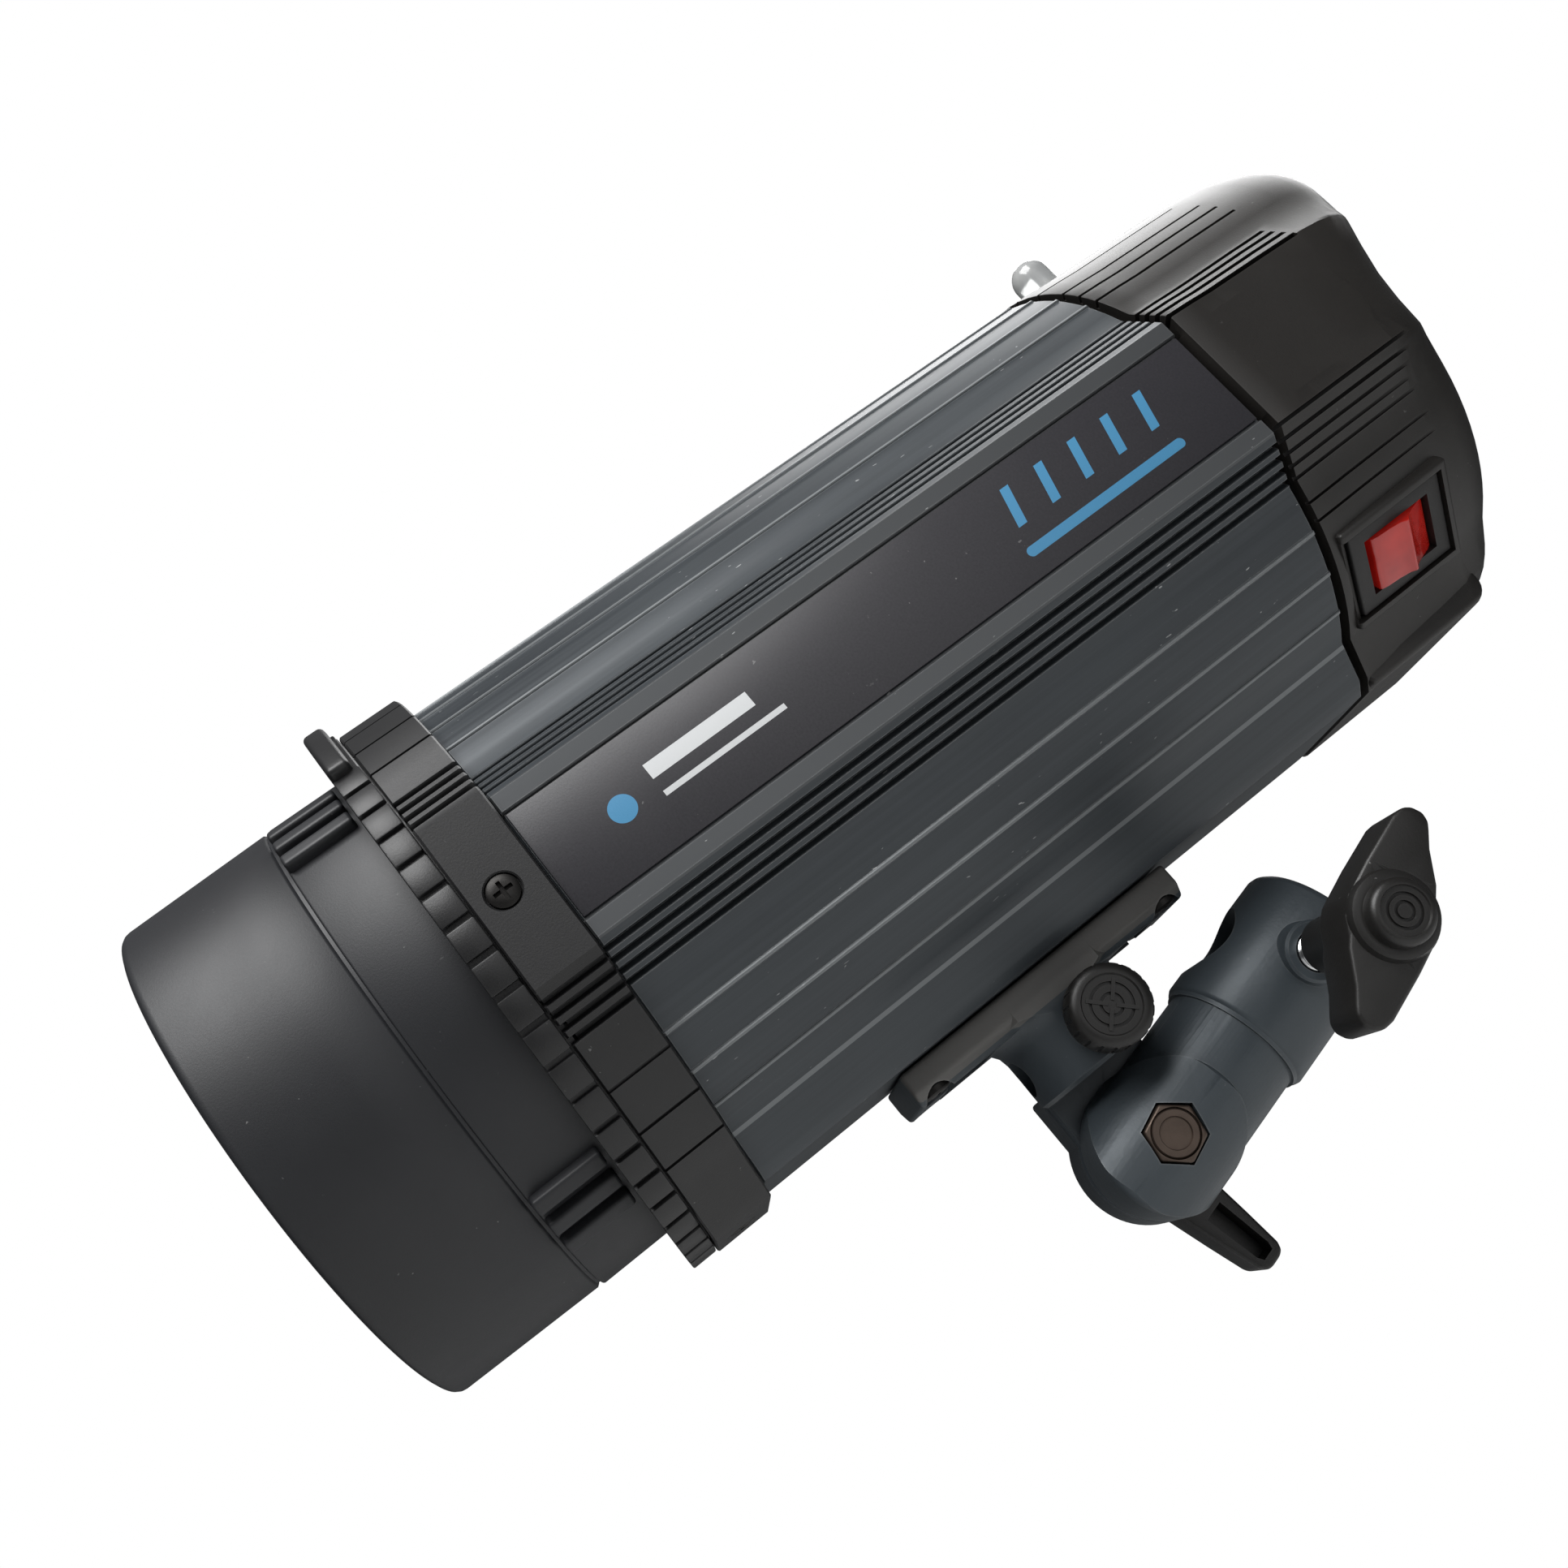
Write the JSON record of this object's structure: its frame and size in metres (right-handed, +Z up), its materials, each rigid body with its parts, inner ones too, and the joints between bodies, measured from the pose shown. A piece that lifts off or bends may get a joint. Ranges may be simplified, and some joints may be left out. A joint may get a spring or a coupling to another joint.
{
  "type": "studio flash head",
  "caption": "Cylindrical studio flash head with a twist-locked front cap, a ribbed case, a rear control panel and a folding stand bracket.",
  "frame": {"origin": "centre of the stand socket's mouth, in the socket's end face, with the bracket folded under the case as at rest", "axes": "the light shines along -Y, its control panel is at +Y, +Z is up when the case is level, and +X is the side with the power switch and the umbrella knob"},
  "size_m": [0.1264, 0.2829, 0.2052],
  "materials": {
    "tube_paint": "satin",
    "label": "satin",
    "black_plastic": "satin",
    "cap_plastic": "matte",
    "rear_plastic": "satin",
    "cast_paint": "satin",
    "knob_plastic": "satin",
    "black_steel": "black oxide",
    "brown_steel": "oxidised",
    "steel": "satin",
    "chrome": "polished",
    "clear_glass": "clear",
    "frosted_glass": "frosted",
    "white_plate": "satin white",
    "ceramic": "glazed ceramic",
    "nickel": "nickel plated",
    "aluminium": "satin",
    "board": "lacquered",
    "foil": "sleeved",
    "ferrite": "matte",
    "winding": "lacquered copper",
    "red_lens": "translucent red",
    "green_lens": "translucent green",
    "dome": "translucent white",
    "nylon": "natural",
    "white_mark": "satin"
  },
  "bodies": {
    "stand": {"stand_receiver": "cast_paint", "tilt_bolt": "brown_steel", "tilt_washer": "nylon"},
    "light": {"body_tube": "tube_paint", "label_plate_left": "label", "label_plate_right": "label", "front_ring": "black_plastic", "front_ring_screw_left": "black_steel", "front_ring_screw_top": "black_steel", "front_ring_screw_right": "black_steel", "front_ring_screw_bottom": "black_steel", "lamp_plate": "white_plate", "lamp_socket": "ceramic", "lamp_base": "nickel", "modelling_bulb": "frosted_glass", "flash_socket_left": "ceramic", "flash_socket_right": "ceramic", "flash_tube": "clear_glass", "chassis": "aluminium", "main_board": "board", "flash_capacitor_left": "foil", "flash_capacitor_right": "foil", "transformer_core": "ferrite", "transformer_coil": "winding", "heat_sink": "aluminium", "trigger_coil": "nylon", "rear_housing": "rear_plastic", "rear_panel": "rear_plastic", "ready_lamp": "green_lens", "sync_jack": "steel", "fuse_holder": "black_plastic", "mains_inlet": "black_plastic", "slave_switch": "black_plastic", "control_board": "board", "panel_screw_1": "black_steel", "panel_screw_2": "black_steel", "panel_screw_3": "black_steel", "panel_screw_4": "black_steel", "fan_frame": "black_plastic", "power_switch_frame": "black_plastic", "slave_sensor_dome": "dome", "tilt_bracket": "cast_paint", "bracket_screw_front_left": "black_steel", "bracket_screw_rear_left": "black_steel", "bracket_screw_front_right": "black_steel", "bracket_screw_rear_right": "black_steel"},
    "lock_ring": {"lock_ring": "black_plastic"},
    "front_cap": {"front_cap": "cap_plastic"},
    "power_rocker": {"power_rocker": "red_lens"},
    "output_dial": {"output_dial": "knob_plastic"},
    "lamp_dial": {"lamp_dial": "knob_plastic"},
    "test_button": {"test_button": "red_lens"},
    "slave_switch_knob": {"slave_switch_knob": "white_mark"},
    "fan_rotor": {"fan_rotor": "black_plastic"},
    "fuse_cap": {"fuse_cap": "black_plastic"},
    "umbrella_screw": {"umbrella_screw": "steel"},
    "umbrella_knob": {"umbrella_knob": "knob_plastic"},
    "tilt_lever": {"tilt_lever": "knob_plastic"},
    "stand_lock_screw": {"stand_lock_screw": "chrome"},
    "stand_lock_handle": {"stand_lock_handle": "knob_plastic"}
  },
  "joints": [
    {"name": "tilt", "type": "hinge", "parent": "stand", "child": "light", "pos_m": [0, -0.05599, -0.01221], "axis": [1, 0, 0], "range_deg": [0, 190]},
    {"name": "tilt_lever_turn", "type": "hinge", "parent": "stand", "child": "tilt_lever", "pos_m": [0, -0.05599, -0.01221], "axis": [1, 0, 0], "range_deg": [-90, 90]},
    {"name": "stand_lock_feed", "type": "slide", "parent": "stand", "child": "stand_lock_screw", "axis": [0.9976, 0.0149, -0.0682], "range_m": [-0.0025, 0.0025]},
    {"name": "stand_lock_turn", "type": "hinge", "parent": "stand_lock_screw", "child": "stand_lock_handle", "pos_m": [0, -0.01172, -0.00256], "axis": [0.9976, 0.0149, -0.0682], "range_deg": [-726, 726]},
    {"name": "umbrella_feed", "type": "slide", "parent": "light", "child": "umbrella_screw", "axis": [1, 0, 0], "range_m": [-0.00079, 0.00158]},
    {"name": "umbrella_turn", "type": "hinge", "parent": "umbrella_screw", "child": "umbrella_knob", "pos_m": [0, -0.05158, 0.01319], "axis": [1, 0, 0], "range_deg": [-366, 726]},
    {"name": "lock_ring_turn", "type": "hinge", "parent": "light", "child": "lock_ring", "pos_m": [0, -0.13898, 0.08849], "axis": [0, 1, 0], "range_deg": [0, 20]},
    {"name": "cap_pull", "type": "slide", "parent": "light", "child": "front_cap", "axis": [0, -1, 0], "range_m": [0, 0.1]},
    {"name": "power_rock", "type": "hinge", "parent": "light", "child": "power_rocker", "pos_m": [0.03425, 0.05101, 0.0491], "axis": [0.7547, 0, 0.6561], "range_deg": [-12, 0]},
    {"name": "output_dial_turn", "type": "hinge", "parent": "light", "child": "output_dial", "pos_m": [0.022, 0.06602, 0.08449], "axis": [0, 1, 0], "range_deg": [-135, 135]},
    {"name": "lamp_dial_turn", "type": "hinge", "parent": "light", "child": "lamp_dial", "pos_m": [-0.022, 0.06602, 0.08449], "axis": [0, 1, 0], "range_deg": [-135, 135]},
    {"name": "test_button_press", "type": "slide", "parent": "light", "child": "test_button", "axis": [0, -1, 0], "range_m": [0, 0.0012], "stiffness_N_per_m": 400},
    {"name": "slave_switch_slide", "type": "slide", "parent": "light", "child": "slave_switch_knob", "axis": [0, 0, 1], "range_m": [0, 0.0058]},
    {"name": "fan_spin", "type": "hinge", "parent": "light", "child": "fan_rotor", "pos_m": [0, 0.05901, 0.11099], "axis": [0, 1, 0], "continuous": true},
    {"name": "fuse_cap_turn", "type": "hinge", "parent": "light", "child": "fuse_cap", "pos_m": [0.022, 0.06602, 0.06349], "axis": [0, 1, 0], "range_deg": [0, 90]}
  ],
  "couplings": [
    {"joint": "stand_lock_turn", "follows": "stand_lock_feed", "rad_per_m": 5026.5},
    {"joint": "umbrella_turn", "follows": "umbrella_feed", "rad_per_m": 7854}
  ]
}
